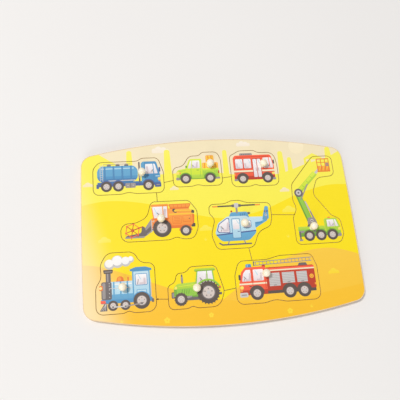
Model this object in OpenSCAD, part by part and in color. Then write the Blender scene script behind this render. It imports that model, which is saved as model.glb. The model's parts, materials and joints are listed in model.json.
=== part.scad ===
// Peg puzzle: a tray of two glued plywood sheets with nine lift-out vehicle pieces.
// The saw cuts every piece from the face sheet, so a piece and its opening share one cut line.
// The origin is at the centre of the tray's underside, with +X along its length and +Z up.

/* [Tray] */
// Wood between the outermost openings and the tray's short edges
side_rim = 12.5; // [9:0.5:20]
// Wood between the outermost openings and the lines through the tray's corners
long_rim = 2.5; // [1:0.5:10]
// Rise of the two long edges at their middle
long_bow = 17; // [8:0.5:24]
// Rise of the two short edges at their middle
short_bow = 1; // [0.5:0.5:6]
// Radius of the tray's four corners
corner_r = 14; // [6:1:24]
// Thickness of the base sheet
base_t = 3; // [2:0.5:5]
// Thickness of the face sheet and of every piece
face_t = 5; // [4.5:0.5:8]

/* [Layout] */
// Wood between neighbours in the top row
top_gap = 10; // [6:0.5:16]
// Wood between neighbours in the bottom row
bottom_gap = 12; // [6:0.5:16]
// Wood between the two pieces of the middle row
middle_gap = 13; // [6:0.5:16]
// How far the middle row starts in from the other two
middle_step = 28; // [10:1:36]
// Wood between a piece and the one above it
column_gap = 10; // [6:0.5:16]

/* [Saw cut] */
// Width of the saw cut around each piece and between the openings
kerf = 0.5; // [0.4:0.1:1]
// Diameter of the hole in which the saw blade starts
start_hole_d = 1.6; // [1:0.1:2.5]

/* [Peg] */
// Diameter of the round head
head_d = 8.5; // [7:0.1:11]
// Height of the peg above the piece
peg_h = 11.5; // [10.5:0.1:15]
// Diameter of the neck at its narrowest
neck_d = 4.4; // [3.4:0.1:5]
// Height of the narrowest place above the piece
neck_h = 2.6; // [2:0.1:3.2]
// Diameter of the foot that stands on the piece
foot_d = 6; // [5.4:0.1:7]
// Thickness of the foot's straight rim
foot_t = 0.6; // [0.4:0.1:1]
// Diameter of the tenon glued into the piece
tenon_d = 3.6; // [3:0.1:4]
// Length of the tenon
tenon_l = 3.6; // [2.5:0.1:3.8]
// Room for glue around the tenon
glue_gap = 0.05; // [0.02:0.01:0.1]
// Room for glue below the tenon
glue_well = 0.3; // [0.1:0.1:0.5]

/* [Tanker piece] */
// Length of the tanker's opening
tanker_l = 78; // [72:1:82]
// Height of the tanker's opening
tanker_h = 42; // [38:1:45]

/* [Pickup piece] */
// Length of the pickup's opening
pickup_l = 56; // [50:1:60]
// Height of the pickup's opening
pickup_h = 41; // [37:1:44]

/* [Bus piece] */
// Length of the bus's opening
bus_l = 55; // [50:1:58]
// Height of the bus's opening
bus_h = 44; // [40:1:47]

/* [Harvester piece] */
// Length of the harvester's opening
harvester_l = 84; // [76:1:88]
// Height of the harvester's opening
harvester_h = 44; // [40:1:47]

/* [Helicopter piece] */
// Length of the helicopter's opening
helicopter_l = 70; // [64:1:74]
// Height of the helicopter's opening
helicopter_h = 55; // [50:1:58]

/* [Lift truck piece] */
// Length of the lift truck's opening
lift_truck_l = 56; // [52:1:59]
// Height of the lift truck's opening
lift_truck_h = 104; // [96:1:107]

/* [Locomotive piece] */
// Length of the locomotive's opening
locomotive_l = 62; // [58:1:65]
// Height of the locomotive's opening
locomotive_h = 64; // [58:1:66]

/* [Tractor piece] */
// Length of the tractor's opening
tractor_l = 60; // [54:1:64]
// Height of the tractor's opening
tractor_h = 44; // [40:1:47]

/* [Fire engine piece] */
// Length of the fire engine's opening
fire_engine_l = 92; // [84:1:97]
// Height of the fire engine's opening
fire_engine_h = 50; // [45:1:53]

/* [Hidden] */

// Degrees that one straight step of a cut line's corner turns through
arc_step = 12;
// Straight steps in half of a bowed edge and in one corner of the tray
bow_steps = 14;
corner_steps = 10;
// Share of a cut line's side that one corner may take up
corner_room_share = 0.48;
// Overrun of every cut past the surface that it opens
overrun = 1;
// Facets of the turned pegs and their holes
peg_fn = 64;

top_z = base_t + face_t;
head_r = head_d / 2;
head_z = peg_h - head_r;
peg_hole_depth = tenon_l + glue_well;

// The tray is as long as its longest row and as wide as its tallest column, within its rims.
// The lift truck stands at the right of the top and the middle row.
top_row = tanker_l + top_gap + pickup_l + top_gap + bus_l + top_gap + lift_truck_l;
middle_row = middle_step + harvester_l + middle_gap + helicopter_l + top_gap + lift_truck_l;
bottom_row = locomotive_l + bottom_gap + tractor_l + bottom_gap + fire_engine_l;
left_column = locomotive_h + column_gap + harvester_h + column_gap + tanker_h;
middle_column = fire_engine_h + column_gap + helicopter_h + column_gap + pickup_h;
right_column = fire_engine_h + column_gap + lift_truck_h;
// From corner to corner
tray_l = 2 * side_rim + max(top_row, middle_row, bottom_row);
tray_w = 2 * long_rim + max(left_column, middle_column, right_column);

left_x = -tray_l / 2 + side_rim;
right_x = tray_l / 2 - side_rim;
bottom_y = -tray_w / 2 + long_rim;
top_y = tray_w / 2 - long_rim;
// The pickup and the bus stand higher than the tanker, as the tray's long edge rises there
raise_share = 0.26;
raised_y = top_y + long_bow * raise_share;

// The lower left corner of each opening
tanker_at = [left_x, top_y - tanker_h];
pickup_at = [tanker_at.x + tanker_l + top_gap, raised_y - pickup_h];
bus_at = [pickup_at.x + pickup_l + top_gap, raised_y - bus_h];
locomotive_at = [left_x, bottom_y];
tractor_at = [locomotive_at.x + locomotive_l + bottom_gap, bottom_y];
fire_engine_at = [tractor_at.x + tractor_l + bottom_gap, bottom_y];
harvester_at = [left_x + middle_step, bottom_y + locomotive_h + column_gap];
helicopter_at = [
    harvester_at.x + harvester_l + middle_gap, bottom_y + fire_engine_h + column_gap
];
lift_truck_at = [right_x - lift_truck_l, bottom_y + fire_engine_h + column_gap];

// An opening has its lower left corner, its length and height, its peg's place as shares of
// these, and the corners of its cut line. A corner is [x share, y share, radius as a share of
// the opening's height].
PLACE = 0;
SIZE = 1;
PEG_SHARE = 2;
CORNER_SHARES = 3;

tanker_peg_share = [0.69, 0.55];
tanker_corner_shares = [
    [0.00, 0.00, 0.16], [0.40, 0.00, 0.40], [0.49, 0.05, 0.40], [0.60, 0.00, 0.40],
    [1.00, 0.00, 0.16], [1.00, 0.58, 0.22], [0.93, 1.00, 0.16], [0.69, 1.00, 0.20],
    [0.63, 0.92, 0.25], [0.08, 0.92, 0.22], [0.00, 0.72, 0.25]
];
tanker = [tanker_at, [tanker_l, tanker_h], tanker_peg_share, tanker_corner_shares];

pickup_peg_share = [0.76, 0.60];
pickup_corner_shares = [
    [0.00, 0.00, 0.16], [0.38, 0.00, 0.40], [0.49, 0.05, 0.40], [0.60, 0.00, 0.40],
    [1.00, 0.00, 0.16], [1.00, 0.74, 0.20], [0.94, 1.00, 0.18], [0.62, 1.00, 0.20],
    [0.55, 0.90, 0.30], [0.34, 0.90, 0.22], [0.22, 0.60, 0.30], [0.00, 0.57, 0.18]
];
pickup = [pickup_at, [pickup_l, pickup_h], pickup_peg_share, pickup_corner_shares];

bus_peg_share = [0.68, 0.57];
bus_corner_shares = [
    [0.00, 0.00, 0.16], [0.40, 0.00, 0.30], [0.49, 0.05, 0.30], [0.58, 0.00, 0.30],
    [1.00, 0.00, 0.16], [1.00, 0.56, 0.40], [0.95, 0.93, 0.25], [0.62, 0.93, 0.40],
    [0.53, 1.00, 0.30], [0.20, 1.00, 0.25], [0.11, 0.93, 0.25], [0.00, 0.86, 0.20]
];
bus = [bus_at, [bus_l, bus_h], bus_peg_share, bus_corner_shares];

harvester_peg_share = [0.52, 0.52];
harvester_corner_shares = [
    [0.00, 0.00, 0.20], [0.63, 0.00, 0.40], [0.71, 0.07, 0.40], [0.79, 0.00, 0.40],
    [0.94, 0.00, 0.22], [1.00, 0.28, 0.22], [1.00, 0.72, 0.20], [0.90, 1.00, 0.16],
    [0.40, 1.00, 0.14], [0.34, 0.60, 0.30], [0.20, 0.48, 0.30], [0.00, 0.46, 0.20]
];
harvester = [
    harvester_at, [harvester_l, harvester_h], harvester_peg_share, harvester_corner_shares
];

helicopter_peg_share = [0.53, 0.49];
helicopter_corner_shares = [
    [0.08, 0.00, 0.12], [0.66, 0.00, 0.16], [0.76, 0.32, 0.25], [0.96, 0.42, 0.14],
    [1.00, 0.60, 0.20], [1.00, 0.92, 0.10], [0.62, 0.94, 0.40], [0.50, 1.00, 0.20],
    [0.36, 1.00, 0.20], [0.26, 0.94, 0.40], [0.00, 0.94, 0.10], [0.00, 0.74, 0.10],
    [0.08, 0.62, 0.30], [0.00, 0.30, 0.30]
];
helicopter = [
    helicopter_at, [helicopter_l, helicopter_h], helicopter_peg_share, helicopter_corner_shares
];

lift_truck_peg_share = [0.36, 0.18];
lift_truck_corner_shares = [
    [0.00, 0.00, 0.06], [0.92, 0.00, 0.07], [1.00, 0.10, 0.06], [0.97, 0.26, 0.07],
    [0.80, 0.31, 0.08], [0.48, 0.56, 0.10], [0.62, 0.74, 0.08], [1.00, 0.76, 0.06],
    [1.00, 1.00, 0.06], [0.58, 1.00, 0.08], [0.06, 0.68, 0.09], [0.04, 0.50, 0.12],
    [0.10, 0.40, 0.10], [0.00, 0.30, 0.10]
];
lift_truck = [
    lift_truck_at, [lift_truck_l, lift_truck_h], lift_truck_peg_share, lift_truck_corner_shares
];

locomotive_peg_share = [0.45, 0.41];
locomotive_corner_shares = [
    [0.00, 0.00, 0.12], [0.46, 0.00, 0.20], [0.54, 0.04, 0.20], [0.62, 0.00, 0.20],
    [1.00, 0.00, 0.14], [1.00, 0.80, 0.12], [0.76, 0.80, 0.20], [0.66, 1.00, 0.16],
    [0.20, 1.00, 0.16], [0.08, 0.80, 0.20], [0.10, 0.58, 0.30], [0.00, 0.44, 0.20]
];
locomotive = [
    locomotive_at, [locomotive_l, locomotive_h], locomotive_peg_share, locomotive_corner_shares
];

tractor_peg_share = [0.50, 0.46];
tractor_corner_shares = [
    [0.00, 0.00, 0.14], [0.34, 0.00, 0.30], [0.42, 0.06, 0.30], [0.50, 0.00, 0.30],
    [0.90, 0.00, 0.26], [1.00, 0.36, 0.26], [0.88, 1.00, 0.14], [0.42, 1.00, 0.14],
    [0.33, 0.86, 0.20], [0.17, 0.86, 0.12], [0.13, 0.64, 0.16], [0.00, 0.57, 0.14]
];
tractor = [tractor_at, [tractor_l, tractor_h], tractor_peg_share, tractor_corner_shares];

fire_engine_peg_share = [0.36, 0.61];
fire_engine_corner_shares = [
    [0.00, 0.00, 0.16], [0.33, 0.00, 0.30], [0.45, 0.06, 0.50], [0.58, 0.00, 0.30],
    [1.00, 0.00, 0.16], [1.00, 0.72, 0.20], [0.95, 1.00, 0.14], [0.56, 1.00, 0.30],
    [0.40, 0.93, 0.40], [0.06, 0.93, 0.16], [0.00, 0.62, 0.20]
];
fire_engine = [
    fire_engine_at, [fire_engine_l, fire_engine_h], fire_engine_peg_share, fire_engine_corner_shares
];

openings = [
    tanker, pickup, bus, harvester, helicopter, lift_truck, locomotive, tractor, fire_engine
];

// The saw's runs from one opening into the next. Each end is a point inside its opening.
saw_run_shares = [
    [harvester, [0.49, 0.80], tanker, [0.88, 0.20]],
    [tanker, [0.92, 0.25], pickup, [0.08, 0.22]],
    [pickup, [0.92, 0.20], bus, [0.08, 0.30]],
    [locomotive, [0.90, 0.20], tractor, [0.10, 0.25]],
    [tractor, [0.90, 0.35], fire_engine, [0.10, 0.38]],
    [fire_engine, [0.24, 0.75], helicopter, [0.56, 0.10]],
    [helicopter, [0.95, 0.66], lift_truck, [0.10, 0.33]]
];
// The run at whose start the saw began its second chain of cuts, and how far along it
start_run_shares = saw_run_shares[3];
start_share = 0.31;

function unit(v) = v / norm(v);
function heading_of(v) = atan2(v.y, v.x);
function left_of(heading) = [-sin(heading), cos(heading)];
function turn_between(a, b) =
    let (turn = heading_of(b) - heading_of(a))
    turn > 180 ? turn - 360 : turn < -180 ? turn + 360 : turn;

// A point given as shares of an opening, in the tray's own plane.
function at_share(opening, share) =
    opening[PLACE] + [share.x * opening[SIZE].x, share.y * opening[SIZE].y];

// One rounded corner of a cut line, moved inwards by inset.
function corner_arc(before, at, after, radius, inset) =
    let (
        arriving = at - before,
        leaving = after - at,
        turn = turn_between(arriving, leaving),
        half_tan = tan(abs(turn) / 2),
        room = corner_room_share * min(norm(arriving), norm(leaving)),
        r = min(radius, room / half_tan) * sign(turn),
        heading = heading_of(arriving),
        centre = at - unit(arriving) * abs(r) * half_tan + left_of(heading) * r,
        steps = ceil(abs(turn) / arc_step)
    )
    [
        for (step = [0 : steps])
            centre - left_of(heading + turn * step / steps) * (r - inset)
    ];

// The closed cut line of an opening. With no inset it is the opening's own edge.
function cut_line(opening, inset = 0) =
    let (
        corners = opening[CORNER_SHARES],
        count = len(corners),
        points = [for (corner = corners) at_share(opening, corner)],
        height = opening[SIZE].y
    )
    [
        for (i = [0 : count - 1])
            each corner_arc(
                points[(i + count - 1) % count], points[i], points[(i + 1) % count],
                corners[i].z * height, inset
            )
    ];

function arc(centre, radius, from, to, steps) = [
    for (step = [0 : steps])
        let (angle = from + (to - from) * step / steps)
        centre + radius * [cos(angle), sin(angle)]
];
function bow_radius(span, bow) = ((span / 2) ^ 2 + bow ^ 2) / (2 * bow);
function mirrored(points, signs) = [for (p = points) [p.x * signs.x, p.y * signs.y]];
function reversed(points) = [for (i = [len(points) - 1 : -1 : 0]) points[i]];
function without_first(points) = [for (i = [1 : len(points) - 1]) points[i]];

// A quarter of the tray's edge: half a short edge, a corner and half a long edge, as three
// arcs that run smoothly into each other.
function tray_quarter() =
    let (
        long_r = bow_radius(tray_l, long_bow),
        short_r = bow_radius(tray_w, short_bow),
        long_centre = [0, tray_w / 2 + long_bow - long_r],
        short_centre = [tray_l / 2 + short_bow - short_r, 0],
        apart = norm(short_centre - long_centre),
        line = heading_of(short_centre - long_centre),
        along = ((long_r - corner_r) ^ 2 - (short_r - corner_r) ^ 2 + apart ^ 2) / (2 * apart),
        across = sqrt((long_r - corner_r) ^ 2 - along ^ 2),
        corner_centre = long_centre + along * [cos(line), sin(line)] - across * left_of(line),
        long_angle = heading_of(corner_centre - long_centre),
        short_angle = heading_of(corner_centre - short_centre)
    )
    concat(
        arc(short_centre, short_r, 0, short_angle, bow_steps),
        without_first(arc(corner_centre, corner_r, short_angle, long_angle, corner_steps)),
        without_first(arc(long_centre, long_r, long_angle, 90, bow_steps))
    );

function tray_edge() =
    let (quarter = tray_quarter(), back = reversed(quarter))
    concat(
        without_first(quarter),
        without_first(mirrored(back, [-1, 1])),
        without_first(mirrored(quarter, [-1, -1])),
        without_first(mirrored(back, [1, -1]))
    );

// The narrow slot that the blade leaves on its way from one opening to the next.
module saw_run(run) {
    from = at_share(run[0], run[1]);
    to = at_share(run[2], run[3]);
    translate(from)
        rotate(heading_of(to - from))
            translate([0, -kerf / 2])
                square([norm(to - from), kerf]);
}

module start_hole() {
    from = at_share(start_run_shares[0], start_run_shares[1]);
    to = at_share(start_run_shares[2], start_run_shares[3]);
    translate(from + (to - from) * start_share)
        circle(d = start_hole_d, $fn = peg_fn);
}

// The whole sheet under the face, with the same edge.
module base_board() {
    color("burlywood")
        linear_extrude(base_t)
            polygon(tray_edge());
}

// The printed sheet with the nine openings, joined by the saw's runs.
module face_board() {
    color("gold")
        translate([0, 0, base_t])
            linear_extrude(face_t)
                difference() {
                    polygon(tray_edge());
                    for (opening = openings) polygon(cut_line(opening));
                    for (run = saw_run_shares) saw_run(run);
                    start_hole();
                }
}

// A piece lies one kerf inside its opening and has a blind hole for its peg.
module piece(opening) {
    translate([0, 0, base_t])
        difference() {
            linear_extrude(face_t)
                polygon(cut_line(opening, kerf));
            translate(concat(at_share(opening, opening[PEG_SHARE]), face_t - peg_hole_depth))
                cylinder(d = tenon_d + 2 * glue_gap, h = peg_hole_depth + overrun, $fn = peg_fn);
        }
}

// The half section of the foot and neck. The neck's hollow is an arc from the foot's rim to
// the head, which touches the neck where it is narrowest.
module neck_profile() {
    hollow_r = bow_radius(2 * (neck_h - foot_t), (foot_d - neck_d) / 2);
    difference() {
        square([foot_d / 2, head_z]);
        translate([neck_d / 2 + hollow_r, neck_h])
            circle(r = hollow_r, $fn = peg_fn);
    }
}

module head_profile() {
    intersection() {
        translate([0, head_z])
            circle(r = head_r, $fn = peg_fn);
        square([head_r, peg_h]);
    }
}

// A turned peg: tenon, foot, hollow neck and round head.
module peg(opening) {
    color("wheat")
        translate(concat(at_share(opening, opening[PEG_SHARE]), top_z))
            rotate_extrude($fn = peg_fn) {
                neck_profile();
                head_profile();
                translate([0, -tenon_l])
                    square([tenon_d / 2, tenon_l]);
            }
}

module tanker_piece() { color("steelblue") piece(tanker); }
module pickup_piece() { color("yellowgreen") piece(pickup); }
module bus_piece() { color("tomato") piece(bus); }
module harvester_piece() { color("darkorange") piece(harvester); }
module helicopter_piece() { color("lightskyblue") piece(helicopter); }
module lift_truck_piece() { color("limegreen") piece(lift_truck); }
module locomotive_piece() { color("lightblue") piece(locomotive); }
module tractor_piece() { color("mediumseagreen") piece(tractor); }
module fire_engine_piece() { color("crimson") piece(fire_engine); }

base_board();
face_board();
tanker_piece();
peg(tanker);  // tanker_peg
pickup_piece();
peg(pickup);  // pickup_peg
bus_piece();
peg(bus);  // bus_peg
harvester_piece();
peg(harvester);  // harvester_peg
helicopter_piece();
peg(helicopter);  // helicopter_peg
lift_truck_piece();
peg(lift_truck);  // lift_truck_peg
locomotive_piece();
peg(locomotive);  // locomotive_peg
tractor_piece();
peg(tractor);  // tractor_peg
fire_engine_piece();
peg(fire_engine);  // fire_engine_peg
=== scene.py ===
"""The looks of a wooden peg puzzle: a printed tray, nine vehicles sawn out of it and their pegs.

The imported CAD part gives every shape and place. The print on the tray and on each piece is drawn here,
in millimetres, as flat outlines laid over each other, and becomes one thin layer on each plywood face.
"""

import json
from math import atan2, ceil, cos, hypot, pi, radians, sin, sqrt, tan

import bpy
from mathutils import Matrix, Vector
from mathutils.geometry import delaunay_2d_cdt

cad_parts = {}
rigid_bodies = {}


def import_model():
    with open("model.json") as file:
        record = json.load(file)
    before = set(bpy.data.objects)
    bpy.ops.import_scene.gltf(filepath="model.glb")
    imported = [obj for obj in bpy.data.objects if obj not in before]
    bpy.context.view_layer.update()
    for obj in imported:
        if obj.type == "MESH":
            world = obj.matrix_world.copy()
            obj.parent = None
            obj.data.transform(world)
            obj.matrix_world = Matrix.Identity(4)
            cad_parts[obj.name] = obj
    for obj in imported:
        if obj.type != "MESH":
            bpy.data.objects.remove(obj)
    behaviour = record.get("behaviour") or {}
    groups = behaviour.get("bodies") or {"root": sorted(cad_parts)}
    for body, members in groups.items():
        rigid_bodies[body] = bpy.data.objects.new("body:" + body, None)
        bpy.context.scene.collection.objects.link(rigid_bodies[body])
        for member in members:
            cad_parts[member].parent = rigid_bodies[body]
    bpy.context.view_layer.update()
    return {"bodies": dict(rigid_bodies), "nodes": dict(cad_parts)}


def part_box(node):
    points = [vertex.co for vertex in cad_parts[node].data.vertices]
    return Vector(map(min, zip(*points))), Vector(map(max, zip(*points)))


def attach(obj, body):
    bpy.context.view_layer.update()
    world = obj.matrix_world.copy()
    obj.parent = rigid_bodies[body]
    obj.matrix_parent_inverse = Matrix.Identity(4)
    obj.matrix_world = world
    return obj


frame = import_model()

MM = 0.001
TRAY = "tray"
VEHICLES = [body for body in frame["bodies"] if body != TRAY]

# The width of the saw cut round each piece, and the height of the printed face, in mm
KERF = 0.5
FACE_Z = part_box("face_board")[1].z / MM

# The camera stands over the tray's near left side and looks down, a little turned. Places in mm.
CAMERA_AT = Vector((-92.4, -135.6, 545.3))
CAMERA_LOOKS_AT = Vector((-21.3, 32.3, 8.0))
CAMERA_ROLL = radians(5.07)
CAMERA_LENS = 46.09


def add(name, data):
    """A new object in the scene."""
    made = bpy.data.objects.new(name, data)
    bpy.context.scene.collection.objects.link(made)
    return made


def make_camera():
    data = bpy.data.cameras.new("camera")
    data.lens = CAMERA_LENS
    camera = add("camera", data)
    ahead = (CAMERA_LOOKS_AT - CAMERA_AT).normalized()
    right = ahead.cross(Vector((0, 1, 0))).normalized()
    right.rotate(Matrix.Rotation(CAMERA_ROLL, 3, ahead))
    axes = Matrix((right, right.cross(ahead), -ahead)).transposed().to_4x4()
    camera.matrix_world = Matrix.Translation(CAMERA_AT * MM) @ axes
    bpy.context.scene.camera = camera


make_camera()


# Outlines, in mm

# The fewest and the most straight steps in a quarter turn, and the least turn that is rounded, in radians
FEWEST_STEPS, MOST_STEPS = 3, 10
LEAST_TURN = 0.02


def arc(x, y, radius, start, end):
    """Points round (x, y), from one angle to another, in radians. A larger radius takes more of them."""
    quarter = min(MOST_STEPS, max(FEWEST_STEPS, round(FEWEST_STEPS + 2 * sqrt(radius))))
    steps = max(1, ceil(abs(end - start) / (pi / 2) * quarter))
    angles = [start + (end - start) * step / steps for step in range(steps + 1)]
    return [(x + radius * cos(angle), y + radius * sin(angle)) for angle in angles]


def disc(x, y, radius):
    return arc(x, y, radius, 0, 2 * pi)[:-1]


def rounded(corners, radius):
    """The outline through these corners, rounded by one radius for all or one for each."""
    radii = radius if isinstance(radius, tuple) else (radius,) * len(corners)
    outline = []
    for i, (x, y) in enumerate(corners):
        before, after = corners[i - 1], corners[(i + 1) % len(corners)]
        into, out = (x - before[0], y - before[1]), (after[0] - x, after[1] - y)
        turn = (atan2(out[1], out[0]) - atan2(into[1], into[0]) + pi) % (2 * pi) - pi
        if not radii[i] or abs(turn) < LEAST_TURN:
            outline.append((x, y))
            continue
        room = 0.49 * min(hypot(*into), hypot(*out))
        reach = min(radii[i] * tan(abs(turn) / 2), room)
        r = reach / tan(abs(turn) / 2)
        side = 1 if turn > 0 else -1
        ux, uy = into[0] / hypot(*into), into[1] / hypot(*into)
        start = atan2(-ux * side, uy * side)
        centre = (x - ux * reach - uy * side * r, y - uy * reach + ux * side * r)
        outline.extend(arc(*centre, r, start, start + turn))
    return outline


def box(x0, y0, x1, y1, radius=0):
    return rounded([(x0, y0), (x1, y0), (x1, y1), (x0, y1)], radius)


def taper(foot, x0, x1, head, x2, x3, radius):
    """A shape with a level foot from x0 to x1 and a level head from x2 to x3."""
    return rounded([(x0, foot), (x1, foot), (x3, head), (x2, head)], radius)


def bar(x0, y0, x1, y1, width):
    """A straight bar with round ends."""
    way = atan2(y1 - y0, x1 - x0)
    near, far = way + pi / 2, way - pi / 2
    return arc(x1, y1, width / 2, far, near) + arc(x0, y0, width / 2, near, near + pi)


def strip(x0, y0, x1, y1, width):
    """A straight strip with square ends."""
    length = hypot(x1 - x0, y1 - y0)
    nx, ny = (y1 - y0) / length * width / 2, (x0 - x1) / length * width / 2
    return [(x0 + nx, y0 + ny), (x1 + nx, y1 + ny), (x1 - nx, y1 - ny), (x0 - nx, y0 - ny)]


def bent(x, y, radius, start, end, width):
    """A band bent round (x, y), between two angles in radians."""
    outer = arc(x, y, radius + width / 2, start, end)
    return outer + arc(x, y, radius - width / 2, end, start)


def part_of(outline, a, b):
    """The part of an outline on the left of the line from a to b."""
    def side(p):
        return (b[0] - a[0]) * (p[1] - a[1]) - (b[1] - a[1]) * (p[0] - a[0])

    kept = []
    for p, q in zip(outline, outline[1:] + outline[:1]):
        sp, sq = side(p), side(q)
        if sp >= 0:
            kept.append(p)
        if sp * sq < 0:
            share = sp / (sp - sq)
            kept.append((p[0] + (q[0] - p[0]) * share, p[1] + (q[1] - p[1]) * share))
    return kept


def below(outline, y):
    return part_of(outline, (1, y), (0, y))


def above(outline, y):
    return part_of(outline, (0, y), (1, y))


def spots_round(x, y, radius, count, start=0.0):
    """Points spread evenly round (x, y), the first of them at the start angle."""
    turns = [start + 2 * pi * i / count for i in range(count)]
    return [(x + radius * cos(turn), y + radius * sin(turn)) for turn in turns]


def smooth_line(points, steps=8):
    """A smooth line through these points, as straight steps."""
    padded = [points[0], *points, points[-1]]
    line = []
    for p0, p1, p2, p3 in zip(padded, padded[1:], padded[2:], padded[3:]):
        for step in range(steps):
            t = step / steps
            line.append(tuple(
                0.5 * (2 * b + (c - a) * t + (2 * a - 5 * b + 4 * c - d) * t * t
                       + (3 * b - a - 3 * c + d) * t ** 3)
                for a, b, c, d in zip(p0, p1, p2, p3)
            ))
    return line + [points[-1]]


# Inks. Each is its tone at the foot and at the head of the shape that it fills, as sRGB out of 255.

def even(*tone, spread=0.025):
    """An ink that is only a little deeper at the foot."""
    return tuple(c * (1 - spread) for c in tone), tuple(min(255, c * (1 + spread)) for c in tone)


INKS = {
    "blue": even(104, 167, 205),
    "denim": even(78, 126, 172),
    "navy": even(82, 100, 150),
    "ice": ((172, 212, 231), (200, 226, 237)),
    "azure": even(86, 148, 192),
    "red": even(247, 102, 73),
    "brick": even(192, 68, 48),
    "orange": ((247, 148, 60), (250, 166, 76)),
    "rust": even(234, 124, 56),
    "straw": even(254, 198, 66),
    "lime": ((206, 228, 58), (226, 240, 86)),
    "green": ((174, 209, 64), (190, 219, 80)),
    "leaf": even(150, 201, 78),
    "moss": even(116, 164, 64),
    "tyre": even(92, 81, 74),
    "hub": even(216, 202, 194),
    "grey": even(158, 149, 146),
    "slate": even(112, 104, 104),
    "ash": even(206, 202, 200),
    "glass": ((232, 220, 224), (252, 249, 249)),
    "white": even(250, 247, 244, spread=0.01),
    "seat": even(214, 199, 203),
    "cream": even(247, 232, 200),
    "lamp": even(255, 228, 108),
    # Background
    "sky": ((250, 234, 208), (246, 231, 192)),
    "cloud": ((250, 236, 214), (252, 242, 226)),
    "sun": ((252, 236, 196), (253, 240, 206)),
    "far_hill": ((252, 238, 66), (253, 242, 94)),
    "far_tree": ((253, 241, 84), (253, 243, 100)),
    "far_patch": ((249, 231, 176), (251, 236, 192)),
    "hill": ((253, 225, 14), (254, 229, 34)),
    "hill_patch": ((253, 233, 74), (253, 237, 94)),
    "mound": ((251, 196, 52), (252, 205, 70)),
    "ground": ((250, 193, 40), (252, 200, 60)),
    "ground_patch": ((253, 217, 52), (253, 222, 68)),
}


# The nine vehicles, each drawn in mm from its opening's lower left corner, as layers from the lowest up.
# A layer is an ink and the outlines that it fills.

def rings(x, y, *sizes):
    """Discs on one centre, the largest first, each given as its ink and radius."""
    return [(ink, disc(x, y, radius)) for ink, radius in sizes]


def wheel(x, y, r):
    return [
        *rings(x, y, ("tyre", r), ("slate", 0.66 * r), ("hub", 0.55 * r)),
        ("grey", *[disc(*nut, 0.07 * r) for nut in spots_round(x, y, 0.33 * r, 5, 0.3)]),
        ("ash", disc(x, y, 0.16 * r)),
    ]


def arched_wheels(ink, places, y, r, gap=1.3):
    """Wheels, each under the half round of its arch."""
    return [layer for x in places for layer in [(ink, arc(x, y, r + gap, 0, pi)), *wheel(x, y, r)]]


def panel(line_ink, ink, line, x0, y0, x1, y1, r):
    """A panel with a line round it, such as a door."""
    inner = box(x0 + line, y0 + line, x1 - line, y1 - line, max(r - line, 0.2))
    return [(line_ink, box(x0, y0, x1, y1, r)), (ink, inner)]


def slats(x0, x1, levels, width, rise=0.0):
    return [bar(x0, y, x1, y + rise, width) for y in levels]


def ladder(x0, x1, foot, head, levels):
    """An upright ladder's rails, and its rungs at these levels."""
    return [bar(x, foot, x, head, 0.6) for x in (x0, x1)] + slats(x0, x1, levels, 0.5)


def cockpit(x, y, facing, s=1.0):
    """A seat and a steering wheel seen through a window. Facing is 1 to the right, -1 to the left."""
    f = facing * s
    return [
        ("seat", bar(x - 2.2 * f, y + 1.2 * s, x - 3.0 * f, y + 6.6 * s, 1.9 * s),
         bar(x - 2.2 * f, y + 0.95 * s, x + 1.0 * f, y + 0.95 * s, 1.7 * s)),
        ("grey", bar(x + 3.1 * f, y + 0.4 * s, x + 2.2 * f, y + 3.1 * s, 0.55 * s),
         bar(x + 1.2 * f, y + 2.2 * s, x + 3.0 * f, y + 4.2 * s, 0.8 * s)),
    ]


DRAWINGS = {}

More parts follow.
